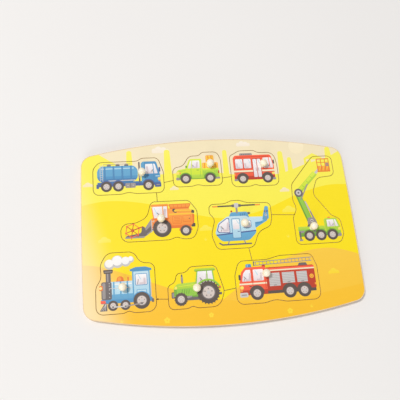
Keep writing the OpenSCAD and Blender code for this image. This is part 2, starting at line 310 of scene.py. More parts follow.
tank = box(4.8, 14.5, 49.4, 33.6, 7.5)
bands, lids = (13.2, 22.8, 32.4, 42), (15.6, 25.2, 34.8)
cab = rounded([(53.2, 9.6), (74, 9.6), (74, 21.5), (70.2, 37.6), (55.2, 37.6), (53.2, 35.4)],
              (0.6, 1.2, 2.6, 2.4, 1.5, 1.5))
DRAWINGS["tanker"] = [
    ("navy", box(5, 9.4, 73, 13.6, 0.6)),
    ("denim", box(5, 12.9, 73, 14.7)),
    ("navy", box(3.8, 7.6, 6.6, 12.6, 0.6)),
    ("blue", tank),
    ("azure", below(tank, 21.6)),
    ("denim", below(tank, 18.4)),
    ("ice", bar(9.5, 30.4, 44.7, 30.4, 1.3)),
    ("denim", *[box(x - 0.9, 14.5, x + 0.9, 33.6) for x in bands]),
    ("azure", *[box(x - 0.3, 15.1, x + 0.3, 33) for x in bands]),
    ("slate", *[box(x, 33.3, x + 4.6, 34.9, 0.4) for x in lids]),
    ("grey", *[box(x + 0.6, 34.6, x + 4, 36.1, 0.6) for x in lids], bar(12, 35.6, 41.5, 35.6, 0.6)),
    ("ash", *ladder(8.1, 10.9, 15.5, 35.4, (18, 20.6, 23.2, 25.8, 28.4, 31, 33.6))),
    # Lockers and hose tube
    ("grey", box(35.2, 7.2, 46.4, 12.8, 0.9)),
    ("slate", box(40.5, 7.2, 41.1, 12.8)),
    ("ash", box(37.2, 9.8, 38.8, 10.5, 0.3), box(43, 9.8, 44.6, 10.5, 0.3), bar(17, 16.2, 46, 16.2, 1.1)),
    # Exhaust
    ("slate", bar(51.1, 14, 51.1, 36.6, 1.7)),
    ("grey", bar(51.1, 19, 51.1, 29, 2.3)),
    # Cab
    ("blue", cab),
    ("azure", part_of(cab, (57, 40), (57, 0))),
    ("denim", below(cab, 13)),
    ("glass", taper(23, 57.8, 71.5, 34.6, 57.8, 68.6, (0.9, 0.6, 1.2, 0.9))),
    *cockpit(63.2, 23.2, 1, 1.15),
    ("blue", strip(67.2, 23, 66.5, 34.8, 0.9)),
    ("denim", box(56.8, 13.8, 57.3, 34.8), box(66.7, 13.8, 67.2, 23)),
    ("ice", box(68.6, 19.4, 73.4, 20.4, 0.4)),
    ("navy", bar(59, 20.6, 61.6, 20.6, 0.8), box(72.6, 24.8, 74.6, 30.4, 0.8),
     box(67.4, 7, 74.6, 12.2, 1.1)),
    ("lamp", rounded([(71.2, 15.2), (74, 15.2), (74, 18.6), (71.2, 18)], 0.6)),
    ("orange", box(71.8, 13.7, 74, 14.8, 0.3)),
    ("grey", box(69.2, 9, 73, 10.2, 0.4)),
    *arched_wheels("navy", (14.6, 27.6, 60.6), 9.5, 6),
]


def bale(x, y, w, h):
    return [
        ("orange", box(x, y, x + w, y + h, 1.3)),
        ("straw", box(x + 0.5, y + 0.5, x + w - 0.5, y + h - 0.5, 1)),
        ("lamp", *slats(x + 1.6, x + w - 2.4, [y + h * s for s in (0.22, 0.5, 0.78)], 0.45, 0.3)),
        ("rust", *[box(x + w * s, y, x + w * s + 0.8, y + h) for s in (0.27, 0.66)]),
    ]


cab = rounded([(4.2, 9.4), (33.6, 9.4), (33.6, 33), (19.8, 33), (14.8, 21.6), (6.2, 20.2), (4.2, 17.6)],
              (1, 0.4, 1.6, 3, 2.4, 2.4, 1.6))
bed = box(32.6, 9.6, 52.8, 21.2, 1)
DRAWINGS["pickup"] = [
    ("moss", box(5, 8.6, 52, 12, 0.5)),
    *bale(34, 19.4, 9, 8.6),
    *bale(43.6, 19.4, 8.8, 8.6),
    *bale(38.6, 28.4, 9.2, 8.4),
    ("green", bed),
    ("lime", above(bed, 19.2)),
    ("leaf", *[box(x, 12, x + 0.8, 18.4, 0.3) for x in (35, 37.2, 47.6, 49.8)]),
    ("brick", box(51.6, 14.6, 53, 18, 0.4)),
    ("lime", cab),
    ("green", below(cab, 14)),
    ("glass", taper(21.8, 17.4, 31.2, 31, 20.9, 31.2, (0.6, 0.8, 1, 1.4))),
    *cockpit(25.6, 21.9, -1, 0.95),
    ("lime", strip(21.3, 21.6, 22.9, 31.2, 0.9)),
    ("leaf", box(20.7, 11.4, 21.2, 21.6), box(31.2, 11.4, 31.7, 21.6), bar(7.2, 18.4, 14.6, 19.4, 0.6)),
    ("moss", bar(27.6, 19.4, 29.6, 19.4, 0.8), box(14.9, 22.4, 16.9, 25.2, 0.7)),
    ("lamp", rounded([(4.2, 14.8), (7.4, 14.8), (7.4, 18.2), (5, 18.2), (4.2, 17)], 0.7)),
    ("orange", box(7.9, 15, 9.1, 17.6, 0.4)),
    ("grey", box(3.6, 8, 10.4, 11.2, 1), box(47.6, 8, 53.4, 10.4, 0.8)),
    *arched_wheels("moss", (14.4, 42.2), 9.5, 6),
]


def bus_window(x):
    """A window with a seat behind it."""
    return [
        *panel("brick", "glass", 0.5, x - 0.5, 21.5, x + 8.9, 34, 1.5),
        ("seat", bar(x + 1.9, 23.2, x + 1.5, 27.6, 1.8), bar(x + 2, 23.2, x + 4.4, 23.2, 1.6)),
        ("ice", strip(x + 5.4, 33.2, x + 7.6, 27.6, 0.7)),
    ]


body = rounded([(3.9, 8), (51, 8), (51, 25), (48.6, 38), (6.4, 38), (3.9, 35)],
               (1.6, 1.6, 3, 3.4, 2.6, 2.6))
DRAWINGS["bus"] = [
    ("grey", box(12, 37, 27, 40.6, 1.2)),
    ("slate", *[box(x, 38.3, x + 0.7, 39.8, 0.2) for x in (14.4, 16.6, 18.8, 21, 23.2)]),
    ("red", body),
    ("brick", below(body, 12.6), above(below(body, 17.5), 16.8), bar(8, 35.9, 46, 35.9, 0.6)),
    ("cream", above(below(body, 19.6), 17.5)),
    *bus_window(6.4),
    *bus_window(16.2),
    # Door, windscreen and lamps
    ("brick", box(26, 9.4, 36.6, 34, 1.4)),
    ("glass", box(26.8, 11, 30.9, 33, 0.8), box(31.7, 11, 35.8, 33, 0.8),
     rounded([(38.8, 21.6), (50, 21.6), (50, 25.2), (48.3, 34.4), (38.8, 34.4)], (1, 0.8, 2, 1.8, 1))),
    ("ice", strip(28, 32.4, 29.9, 27.4, 0.7), strip(32.9, 32.4, 34.8, 27.4, 0.7)),
    *cockpit(43.4, 21.8, 1),
    ("red", strip(46.4, 21.6, 45.8, 34.4, 0.8)),
    ("tyre", box(50.2, 26.4, 51.9, 31.4, 0.7)),
    ("lamp", box(48, 13.6, 51, 16.4, 0.8)),
    ("orange", box(48.6, 19.9, 51, 20.9, 0.3), box(3.9, 13.4, 5.4, 16.4, 0.4)),
    ("grey", box(45.8, 7, 51.8, 9.9, 1), box(3.4, 7, 7.6, 9.4, 0.8),
     bar(29.9, 18.6, 29.9, 22.2, 0.6), bar(32.7, 18.6, 32.7, 22.2, 0.6)),
    *arched_wheels("tyre", (13.4, 42.2), 9.5, 6, 1.1),
]


def reel(x, y, r):
    """A harvester's turning reel, with bats that carry tines."""
    spokes, tips = spots_round(x, y, 0.92 * r, 6, 0.35), spots_round(x, y, r, 6, 0.35)
    art = []
    for spoke, tip, after in zip(spokes, tips, tips[1:] + tips[:1]):
        art += [
            ("brick", bar(x, y, *spoke, 0.8)),
            ("red", bar(*tip, *after, 0.8)),
            ("brick", bar(*tip, tip[0], tip[1] - 2.4, 0.5)),
            ("red", disc(*tip, 0.9)),
        ]
    return art + rings(x, y, ("brick", 1.7), ("straw", 0.8))


body = rounded(
    [(33.4, 12.8), (74.6, 12.8), (78.2, 17), (78.2, 30.6), (74, 35.4), (50, 35.4), (50, 25), (33.4, 25)],
    (1.2, 1.4, 2.4, 3, 2, 0, 0, 1))
DRAWINGS["harvester"] = [
    # Straw hood
    ("rust", rounded([(72, 13.6), (79.4, 15), (80.6, 27.6), (74, 30)], 1.6)),
    ("tyre", taper(13.4, 76.4, 80.6, 17.4, 76.4, 81, 0.8)),
    # Feeder
    ("grey", rounded([(21.6, 8.4), (27, 5.8), (41, 16), (38, 24.4), (33, 24.4)], 1.2)),
    ("slate", rounded([(24.4, 9.6), (27.6, 8), (38.8, 16.4), (36, 20)], 0.8)),
    ("orange", body),
    ("rust", below(body, 16.2)),
    ("straw", box(52.8, 27.6, 77.9, 29.4, 0.4)),
    # Grain tank
    ("rust", taper(34.6, 54.6, 75, 40.2, 52.6, 77.6, 0.8)),
    ("orange", taper(36, 55, 74.6, 39.2, 53.8, 76.3, 0.5)),
    ("rust", *[strip(x, 36, x + (x - 65) * 0.08, 39.4, 0.5) for x in (58.6, 62.8, 67, 71.2)]),
    # Side panels
    *panel("rust", "orange", 0.5, 56.2, 17.6, 66, 26.4, 1),
    *panel("rust", "orange", 0.5, 67.4, 19.4, 76.6, 26.4, 1),
    ("rust", *slats(58, 64.2, (19.6, 21.4, 23.2, 24.8), 0.6)),
    # Unloading pipe
    ("tyre", bar(74.4, 23, 75.2, 23, 0.7), bar(58.4, 33, 60, 31.8, 3.6)),
    ("straw", bar(59.8, 32.4, 78.2, 31.6, 2.5)),
    ("rust", bar(61, 31.7, 77.4, 31, 0.5)),
    ("tyre", rounded([(77.2, 29.4), (80.4, 28.4), (80.8, 31.6), (78, 33.1)], 0.6)),
    # Cab
    ("glass", taper(24.4, 36.4, 51.4, 38.6, 34.8, 51.4, 0.4)),
    *cockpit(44.4, 24.8, -1, 1.4),
    ("ice", strip(36.9, 36.8, 39.9, 29.4, 0.8)),
    ("orange", strip(36, 24, 34.2, 38.8, 1.1), strip(46.4, 24, 46.4, 38.8, 1),
     strip(51.6, 24, 51.6, 38.8, 1.4), taper(38, 32.6, 53, 40.7, 34.2, 52.2, 0.9)),
    ("lamp", box(33.4, 36.5, 35.6, 38.2, 0.6)),
    ("rust", box(34.6, 23.2, 52.8, 25, 0.6)),
    ("ash", *ladder(33.2, 36, 9.6, 22.8, (11.6, 14, 16.4, 18.8, 21.2))),
    # Header
    ("slate", rounded([(3.8, 4), (24.6, 4), (28, 7.6), (25.6, 16), (22.6, 17), (22, 9.4), (6.2, 7)],
                      (0.8, 1.2, 1, 1, 1, 3, 0.8))),
    ("grey", rounded([(3.8, 4), (24.6, 4), (26.6, 6), (5.4, 5.8)], (0.8, 1, 0.4, 0.4))),
    *reel(12.6, 12.6, 7.6),
    ("brick", bar(12.6, 12.6, 23.6, 16.4, 1.1)),
    ("rust", arc(44.6, 13.6, 11.2, 0.02, pi * 0.86)),
    *wheel(44.6, 13.6, 10),
    *arched_wheels("rust", (70,), 9.6, 6, 1.2),
]


body = rounded(
    [(4.6, 17.4), (11.6, 8.8), (42, 8.8), (50.6, 17), (49.6, 29.6), (41, 36.6), (19.6, 36.6), (8.6, 29.4)],
    (5, 7, 7, 6, 6, 6, 6, 6))
boom = rounded([(40, 20.4), (50, 22), (64.4, 30), (64, 34.4), (44, 35), (38, 34)], (0, 5, 1.4, 1.4, 4, 0))
fin = rounded([(58.6, 30.6), (66.2, 31.4), (66.8, 46.4), (63, 46.4), (59.6, 34.6)], (1, 2, 1.4, 1.4, 2))
DRAWINGS["helicopter"] = [
    # Skids
    ("grey", bar(18, 6, 20.6, 12, 1.3), bar(37, 6, 34.6, 12, 1.3)),
    ("slate", bar(11.6, 5, 43.4, 5, 1.6), bar(11.6, 5, 8.6, 7, 1.6)),
    # Tail
    ("ice", boom),
    ("blue", part_of(boom, (64.6, 32.6), (44, 24)), fin),
    ("navy", strip(61.4, 40.6, 66.5, 40.6, 1.2)),
    ("azure", bar(51, 27.6, 57.6, 28.2, 2)),
    ("grey", bar(63.4, 31, 63.4, 41.4, 0.9)),
    *rings(63.4, 36.2, ("ash", 1.4), ("navy", 0.6)),
    # Engine
    ("slate", bar(40, 38.6, 44.6, 39.4, 2.6)),
    ("blue", taper(33, 19.8, 44.6, 41.2, 24, 42.4, (1, 2, 2.6, 3))),
    ("denim", *[bar(x, 36.8, x + 0.6, 39.2, 0.8) for x in (34.4, 36.6, 38.8)]),
    # Body
    ("ice", body),
    ("blue", part_of(body, (50, 18.6), (5, 15.6))),
    ("navy", part_of(part_of(body, (50, 19.8), (5, 16.8)), (5, 15.4), (50, 18.4))),
    # Cockpit
    ("navy", rounded([(6, 18.8), (21.4, 17.8), (21.4, 34.8), (18.6, 34.8), (9.4, 28.6)], (3, 1, 1, 3, 4))),
    ("glass", rounded([(7.2, 19.5), (20.7, 18.6), (20.7, 34), (18.8, 34), (10.2, 28.2)],
                      (2.6, 0.8, 0.8, 2.6, 3.6))),
    *cockpit(15.8, 19.8, -1, 1.35),
    # Door and window
    *panel("denim", "ice", 0.55, 23.6, 11.6, 33.4, 34.2, 1.6),
    *panel("denim", "glass", 0.6, 36, 22.6, 45.8, 31.4, 2.2),
    ("glass", box(25, 21.6, 32, 32.6, 1.2)),
    ("ice", strip(9.6, 26.2, 12.4, 22.2, 0.8), strip(29.4, 32.2, 31.6, 27.6, 0.8),
     strip(41.4, 31, 44, 26, 0.8)),
    ("navy", bar(29.8, 19.2, 31.8, 19.2, 0.8)),
    # Rotor
    ("grey", bar(31, 40.6, 31, 47.4, 2.2)),
    ("tyre", bar(4.8, 48.6, 57.4, 48.6, 1.7)),
    ("orange", bar(5, 48.6, 9.2, 48.6, 1.7), bar(53, 48.6, 57.2, 48.6, 1.7)),
    ("slate", box(25.4, 47, 36.6, 50.2, 1.2)),
    ("ash", box(28.6, 46.2, 33.4, 51.6, 1)),
    ("brick", disc(24.9, 42.2, 1.1)),
]


cab = rounded([(34.8, 9.4), (52.6, 9.4), (52.6, 19.2), (49.4, 28.6), (36.4, 28.6), (34.8, 27)],
              (0.6, 1.2, 2.2, 2, 1.4, 1.4))
DRAWINGS["lift_truck"] = [
    # The two arms and the elbow between them
    ("moss", strip(19.8, 24, 9.6, 58, 6.4)),
    ("leaf", strip(20.4, 24, 10.2, 58, 4.2)),
    ("grey", bar(24.6, 27, 16.6, 49, 1.8)),
    ("ash", bar(20.6, 38, 16.6, 49, 1.1), strip(26, 75, 42.6, 91.6, 3)),
    ("green", strip(10.6, 61, 33.4, 83.2, 6)),
    ("lime", strip(10.2, 61.6, 32.8, 83.8, 3.6)),
    ("leaf", *[strip(12.6 + x, 61.4 + y, 10.6 + x, 63.4 + y, 0.6)
               for x, y in ((5.4, 5.26), (10.8, 10.52), (16.2, 15.78))]),
    ("grey", bar(12.2, 52, 22, 69.6, 1.5)),
    *rings(10.4, 60, ("slate", 5), ("ash", 3), ("slate", 1.1)),
    # Basket
    ("slate", bar(41.8, 90.6, 44.4, 88.4, 2)),
    ("rust", box(36.8, 84.2, 52.4, 85.8, 0.6)),
    ("orange", box(37.2, 85.2, 52, 91.6, 0.6)),
    ("straw", *[strip(x, 85.8, x + 2.4, 91.2, 1.2) for x in (39.2, 43.4, 47.6)]),
    ("rust", *[bar(x, 86, x, 100.2, 0.9) for x in (37.6, 42.4, 47.2, 51.6)],
     bar(37.6, 100.2, 51.6, 100.2, 1.1), bar(37.6, 95.8, 51.6, 95.8, 0.7)),
    ("grey", box(47.8, 91, 51.4, 95.2, 0.6)),
    ("red", disc(49.6, 93.2, 0.7)),
    # Deck
    ("moss", box(4.2, 8.8, 52, 13.4, 0.8)),
    ("grey", box(4.4, 13, 34.4, 17, 0.6)),
    ("green", box(4, 15.6, 34.6, 20.2, 0.8)),
    ("leaf", box(4, 15.6, 34.6, 17, 0.4)),
    ("slate", taper(19.8, 14.4, 28.6, 24, 17, 26, 0.8)),
    ("grey", taper(22.6, 15.6, 27.4, 30.4, 16.8, 24.6, 1.4)),
    *rings(21.2, 26.8, ("ash", 1.8), ("slate", 0.8)),
    # The foot that steadies it
    ("slate", bar(5.6, 14, 5.6, 6.2, 1.8)),
    ("grey", box(3.8, 4, 8, 6, 0.7)),
    # Cab
    ("green", cab),
    ("leaf", below(cab, 13.8)),
    ("glass", taper(18.8, 38, 50.9, 26.8, 38, 48.2, (0.8, 0.6, 1.2, 0.8))),
    *cockpit(43.2, 18.9, 1, 0.82),
    ("green", strip(47, 18.6, 46.2, 27, 0.8)),
    ("moss", box(37, 12.6, 37.4, 27), bar(39.2, 17, 41.4, 17, 0.7)),
    ("lamp", rounded([(50, 14.4), (52.6, 14.4), (52.6, 17.6), (50, 17)], 0.5)),
    ("orange", box(39.4, 28.4, 42.6, 30.2, 0.8)),
    ("grey", box(46.8, 7.2, 53, 11, 1)),
    *arched_wheels("moss", (16, 29.4, 42.6), 9.6, 6.1, 1.1),
]


boiler = box(8.4, 15, 40, 33.2, 1.2)
puffs = [(15, 51.4, 5.4), (23.4, 54, 6.6), (32, 53.6, 5.2), (37.4, 55.4, 3.2)]
rod_y = 7.4
DRAWINGS["locomotive"] = [
    ("ash", *[disc(*puff) for puff in puffs]),
    ("white", *[disc(x - 0.3, y + 1.1, 0.78 * size) for x, y, size in puffs]),
    # Chimney, dome and whistle
    ("slate", box(10.8, 32, 16, 42.6)),
    ("grey", box(12, 32, 13.6, 42.6)),
    ("tyre", taper(42, 9, 17.8, 46, 8.2, 18.6, 0.9)),
    ("grey", bar(10, 43.8, 16.8, 43.8, 0.9)),
    ("rust", taper(31.6, 21.6, 29.4, 38.4, 22.4, 28.6, (0.4, 0.4, 3, 3)), box(33, 32, 34.4, 37.6, 0.5)),
    ("orange", taper(31.6, 22.6, 26.8, 37.6, 23.2, 26.4, (0.4, 0.4, 2.4, 1.6))),
    ("brick", box(21, 32.4, 30, 33.6, 0.5)),
    # Boiler on its frame
    ("azure", box(5.4, 11, 58, 15.4, 0.8)),
    ("ice", boiler),
    ("blue", below(boiler, 20.2)),
    ("white", bar(18, 30.6, 37, 30.6, 1)),
    ("blue", *[box(x - 0.8, 15, x + 0.8, 33.2) for x in (18.8, 25.8, 32.8)]),
    ("slate", box(6, 15, 16.6, 33.4, 2)),
    ("grey", box(7, 16, 10.2, 32.4, 1.2)),
    ("rust", box(3.8, 24.6, 7.6, 29.8, 1.2)),
    ("lamp", disc(5.3, 27.2, 1.5)),
    ("ash", *[disc(14.2, y, 0.5) for y in (17.6, 21.4, 25.2, 29, 31.6)], bar(14, 26.4, 38, 26.4, 0.6)),
    # Cab
    ("blue", box(38, 14, 56.4, 43.4, 0.8)),
    ("ice", box(39.4, 15.4, 55, 42.4, 0.8)),
    *panel("azure", "glass", 0.7, 40.8, 27.8, 53.6, 40.2, 1.4),
    ("seat", bar(50.6, 29.8, 50.6, 34.4, 2.2), bar(45.8, 30, 50, 30, 1.6)),
    ("grey", bar(43.2, 29.2, 44.2, 34, 0.8)),
    ("ice", strip(44.2, 38.9, 46.8, 34, 0.8)),
    *panel("blue", "ice", 0.7, 42, 17.6, 52.4, 23.8, 0.8),
    ("ash", bar(56.9, 16, 56.9, 34, 0.6)),
    ("azure", rounded([(35.6, 43), (58.6, 43), (58.2, 45.2), (52, 47.2), (42, 47.2), (36, 45.2)],
                      (0.6, 0.6, 0.6, 3, 3, 0.6))),
    # Cowcatcher and buffers
    ("slate", taper(3.8, 3.8, 11.6, 12, 9.4, 11.6, 0.6), box(57, 9.8, 59.4, 13.6, 0.6)),
    ("ash", *[strip(x, 4.4, 10.6, 11.4, 0.45) for x in (5.6, 7.6, 9.4)]),
    ("red", box(5, 11.4, 10, 14.4, 0.6)),
    # Wheels and their rods
    ("azure", arc(46.8, 12.2, 9.6, 0.1, pi - 0.1)),
    *wheel(17.4, 8.8, 5.2),
    *wheel(30, 8.8, 5.2),
    *wheel(46.8, 12.2, 8.6),
    ("ash", bar(17.4, rod_y, 30, rod_y, 1.3)),
    ("grey", bar(30, rod_y, 46.8, rod_y + 2, 1.3)),
    ("slate", disc(17.4, rod_y, 0.9), disc(30, rod_y, 0.9), disc(46.8, rod_y + 2, 1.1)),
]


def lugs(x, y, r, count):
    """The bars of a farm tyre's tread, which stand a little past its round."""
    feet, tips = spots_round(x, y, 0.8 * r, count), spots_round(x, y, r, count, 0.08)
    return [bar(*foot, *tip, 0.1 * r) for foot, tip in zip(feet, tips)]


big, small = (42.6, 15.6), (13.4, 10.2)
hood = rounded([(6.4, 13.2), (32.4, 13.2), (32.4, 27.6), (10.4, 26.4), (6.4, 22.6)], (1, 0, 0, 3.4, 2.4))
DRAWINGS["tractor"] = [
    # Frame, front weight and exhaust
    ("slate", rounded([(14, 8.6), (42, 8.6), (42, 17), (14, 15)], 1), box(52, 12.4, 56.8, 15, 0.6),
     bar(15.6, 26, 15.6, 35.4, 1.6)),
    ("tyre", box(3.7, 11.6, 7.4, 18, 0.9)),
    ("grey", bar(14, 10.4, 24, 12.6, 2), box(4.4, 12.4, 6.6, 17.2, 0.5), bar(15.6, 28.6, 15.6, 32.4, 2.4)),
    # Hood
    ("leaf", hood),
    ("green", part_of(hood, (6, 20.6), (32.4, 22))),
    ("moss", box(6.4, 14.2, 9.4, 20.4, 0.8), *[bar(x, 16, x + 0.8, 20, 0.8) for x in (14.6, 17, 19.4, 21.8)]),
    ("leaf", *slats(6.9, 8.9, (15.6, 17, 18.4), 0.4)),
    ("lime", bar(11.6, 23.6, 31, 24.8, 0.7)),
    ("lamp", taper(20.8, 6.7, 9.9, 23.6, 7.8, 9.9, 0.7)),
    # Cab
    ("glass", taper(24, 29.4, 50.2, 38.6, 32, 48.6, 0.6)),
    *cockpit(38.6, 26, -1, 1.25),
    ("leaf", strip(29.8, 22.8, 32.2, 39, 1.3), strip(42.4, 22.8, 42.4, 39, 1),
     strip(50, 22.8, 48.4, 39, 1.3), box(29.2, 20, 37, 24.8, 0.8)),
    ("moss", taper(38.2, 28.8, 51.8, 40.8, 30, 51, 0.9), bar(26, 12.6, 31.6, 12.6, 1.4)),
    ("green", taper(39, 28.6, 52, 41.2, 30.2, 50.6, 0.9)),
    # Fender
    ("leaf", bent(*big, 13.3, 0.25, pi * 0.86, 2)),
    ("moss", bent(*big, 12.5, 0.25, pi * 0.86, 0.6)),
    ("red", box(54.2, 19.4, 56.2, 21.6, 0.5)),
    ("tyre", *lugs(*big, 12.1, 22), *lugs(*small, 6.9, 14)),
    *wheel(*big, 11.6),
    *wheel(*small, 6.6),
]


def shutter(x0, y0, x1, y1):
    """A roller shutter with slats and a handle."""
    pitch, middle = 1.75, (x0 + x1) / 2
    levels = [y0 + pitch * i for i in range(1, ceil((y1 - y0) / pitch))]
    return [
        *panel("brick", "ash", 0.6, x0 - 0.6, y0 - 0.6, x1 + 0.6, y1 + 0.6, 0.9),
        ("grey", *[box(x0, y, x1, y + 0.35) for y in levels]),
        ("slate", bar(middle - 1.4, y0 + 0.9, middle + 1.4, y0 + 0.9, 0.6)),
    ]


body = box(33.2, 12.6, 88.2, 37.2, 1.6)
cab = rounded([(4.4, 9.6), (34.2, 9.6), (34.2, 39), (12, 39), (7.2, 34), (4.4, 22.6)],
              (1.2, 0.4, 1.4, 3, 3, 2))
DRAWINGS["fire_engine"] = [
    # Ladder on its turntable
    ("slate", taper(36, 70, 82, 40.4, 72, 80, 0.8)),
    ("grey", bar(22.4, 40.6, 86.4, 42.2, 0.9), bar(22.4, 44.2, 86.4, 45.8, 0.9),
     *[bar(24.4 + 4 * i, 40.6 + 0.1 * i, 24.2 + 4 * i, 44.2 + 0.1 * i, 0.7) for i in range(16)]),
    ("slate", bar(22, 40.4, 22, 44.6, 1.2)),
    ("brick", box(30.6, 36.4, 34.2, 40.6, 0.6)),
    # Body
    ("tyre", box(5, 9.4, 87.6, 13.2, 0.8)),
    ("red", body),
    ("brick", below(body, 33.3), bar(35.2, 37.1, 86.4, 37.1, 0.9)),
    ("cream", above(below(body, 34.8), 33.3)),
    *shutter(37, 17.2, 49, 31.2),
    *shutter(51.6, 19.6, 65.2, 31.2),
    *shutter(67.8, 19.6, 79.4, 31.2),
    # Hose reel
    ("brick", box(81.6, 18.6, 87, 31.8, 1)),
    *rings(84.3, 25.2, ("straw", 2.3), ("rust", 1.5), ("straw", 0.8)),
    ("orange", box(86.6, 15.8, 88.2, 18, 0.4)),
    # Cab
    ("red", cab),
    ("brick", below(cab, 14.6)),
    ("cream", above(below(cab, 22), 20.3)),
    ("glass", rounded([(7.4, 24), (17.4, 24), (17.4, 36.2), (12.6, 36.2), (9.4, 32.6)],
                      (0.8, 0.8, 0.8, 2, 2)), box(20.2, 24, 31.4, 36.2, 1)),
    *cockpit(13.4, 24.2, -1, 1.15),
    ("seat", bar(28.4, 25.4, 29, 31.8, 2), bar(24.4, 25.3, 28.4, 25.3, 1.8)),
    ("brick", box(18.5, 15.4, 19, 37), box(32.5, 15.4, 33, 37)),
    ("tyre", bar(15, 18.4, 17.2, 18.4, 0.8), bar(21, 18.4, 23.2, 18.4, 0.8), box(4, 25.6, 6.4, 31.4, 0.9)),
    ("azure", taper(38.8, 12.6, 19.4, 42.4, 13.2, 18.8, 0.9)),
    ("ice", strip(22.4, 35.4, 25, 30, 0.9), bar(14.6, 39.8, 14.8, 41.4, 0.8)),
    ("lamp", box(4.8, 15.8, 8.4, 19.2, 1)),
    ("orange", box(4.8, 13.4, 7.2, 15, 0.4)),
    ("ash", box(3.8, 7.4, 12.6, 12.2, 1.2)),
    ("grey", box(5.4, 9.2, 11, 10.4, 0.4)),
    *arched_wheels("tyre", (22.4, 58.4, 74.4), 10.9, 7.2, 1.2),
]


# The background, in mm on the tray. It runs on over the pieces.

FIELD_X, FIELD_Y = 160, 115


def hill(*points):
    """The land under a smooth skyline."""
    line = smooth_line(points)
    return [(line[0][0], -FIELD_Y), (line[-1][0], -FIELD_Y), *reversed(line)]


def bush(x, y, s):
    """Three round heads on a flat foot."""
    heads = [(-3.4, 0, 2.6), (0, 1.4, 3.6), (3.6, 0.2, 2.8)]
    return [above(disc(x + dx * s, y + dy * s, r * s), y - 0.8 * s) for dx, dy, r in heads]


def poplar(x, y, w, h):
    """A tall narrow tree."""
    return taper(y, x - w / 2, x + w / 2, y + h, x - 0.34 * w, x + 0.34 * w, (0, 0, 0.32 * w, 0.32 * w))


def cloud(x, y, s):
    heads = [(-6, 0, 2.6), (-1.6, 1.2, 3.6), (3.6, 0.8, 3), (7.4, -0.2, 2)]
    base = box(x - 8.4 * s, y - 2.6 * s, x + 9.2 * s, y + 0.4 * s, 1.4 * s)
    return [base, *[disc(x + dx * s, y + dy * s, r * s) for dx, dy, r in heads]]


def barn(x, y, w, h):
    """A barn's side with its gable roof, a door and two lofts."""
    walls = [(x, y), (x + w, y), (x + w, y + 0.6 * h), (x + 0.5 * w, y + h), (x, y + 0.6 * h)]
    door = box(x + 0.38 * w, y, x + 0.62 * w, y + 0.46 * h, 0.4)
    lofts = [box(x + a * w, y + 0.3 * h, x + (a + 0.16) * w, y + 0.52 * h, 0.4) for a in (0.12, 0.72)]
    return [("far_tree", rounded(walls, 0.5)), ("far_patch", door, *lofts)]


def tuft(x, y, s):
    """Three blades of grass."""
    return [[(x - s * 0.5, y), (x + s * 0.5, y), (x + lean * s, y + tall * s)]
            for lean, tall in ((-1.6, 2.2), (0.1, 3), (1.8, 2))]


def flower(x, y, s):
    return [disc(*petal, 0.85 * s) for petal in spots_round(x, y, 1.2 * s, 5, pi / 2)]


BACKGROUND = [
    ("sky", box(-FIELD_X, -FIELD_Y, FIELD_X, FIELD_Y)),
    ("sun", disc(97, 92, 9)),
    ("cloud", *cloud(-62, 93, 1.1), *cloud(34, 97, 0.9)),
    ("far_tree", poplar(-97, 66, 8, 28), poplar(-54.5, 60, 9, 34), poplar(11.5, 58, 7, 33),
     poplar(76.5, 58, 8, 29), poplar(86.5, 58, 6.5, 21), poplar(134, 72, 8.5, 18), *bush(-30, 66, 1.3)),
    *barn(104, 68, 22, 15),
    ("far_hill", hill((-160, 104), (-136, 94), (-108, 77), (-70, 65), (-16, 66), (26, 60), (70, 59),
                      (106, 70), (134, 78), (160, 92))),
    ("far_patch", *bush(-143, 54, 0.9), *bush(-49, 46, 0.8), *bush(76, 38, 0.9)),
    ("hill", hill((-160, 30), (-122, 36), (-80, 31), (-36, 18), (6, 10), (48, 17), (92, 34), (128, 43),
                  (160, 42))),
    ("hill_patch", *bush(-127, -9, 1.1), *bush(78, 14, 1.3), *bush(-18, -2, 1.1),
     *tuft(73, -16, 1.3), *tuft(-19, -14, 1.3)),
    ("mound", hill((-40, -104), (-6, -78), (36, -52), (78, -35), (114, -30), (142, -36), (160, -44))),
    ("ground", hill((-160, -32), (-134, -35), (-102, -46), (-62, -62), (-20, -75), (28, -83), (76, -82),
                    (160, -70))),
    ("ground_patch", *flower(-66, -95, 1.6), *flower(-20, -93, 1.3), *flower(64, -95, 1.5),
     *tuft(-112, -94, 1.4), *tuft(88, -93, 1.4), *bush(118, -58, 1)),
]


def shapes_of(layers):
    """Every outline of these layers with its ink, the lowest first."""
    return [(ink, outline) for ink, *outlines in layers for outline in outlines]


# From outlines to the printed layer

# How far the print stands above the wood and reaches into it
PRINT_RISE, PRINT_SUNK = 0.1, 0.05
# Bare rim between the print and the edge that it lies beside
PRINT_RIM = 0.06
# How far sanding has rounded the tray's outer edge, where no print is left
SANDED_R = 0.7
# Width of the stretch along a cut that the blade's heat has browned
SCORCH = 0.1
SCORCH_TONE = (0.96, 0.88, 0.74)
# Outline points nearer to each other than this become one
SAME_SPOT = 1e-4
# At a sharp corner a moved loop goes no further than MITRE times its distance, and the sum of its two
# normals counts as no shorter than LEAST_SPAN
MITRE, LEAST_SPAN = 2.0, 0.6
# The least upright share of a level face's normal, and how near vertices on one spot are, in metres
FLAT, ONE_SPOT = 0.999, 1e-6


def linear(tone):
    """A colour out of 255 as the shader takes it."""
    shares = [c / 255 for c in tone]
    return [c / 12.92 if c <= 0.04045 else ((c + 0.055) / 1.055) ** 2.4 for c in shares]


def area(outline):
    return sum(a[0] * b[1] - b[0] * a[1] for a, b in zip(outline, outline[1:] + outline[:1])) / 2


def spot(point):
    """A vertex's place on the sheet in mm, to the micrometre."""
    return round(point.x / MM, 3), round(point.y / MM, 3)


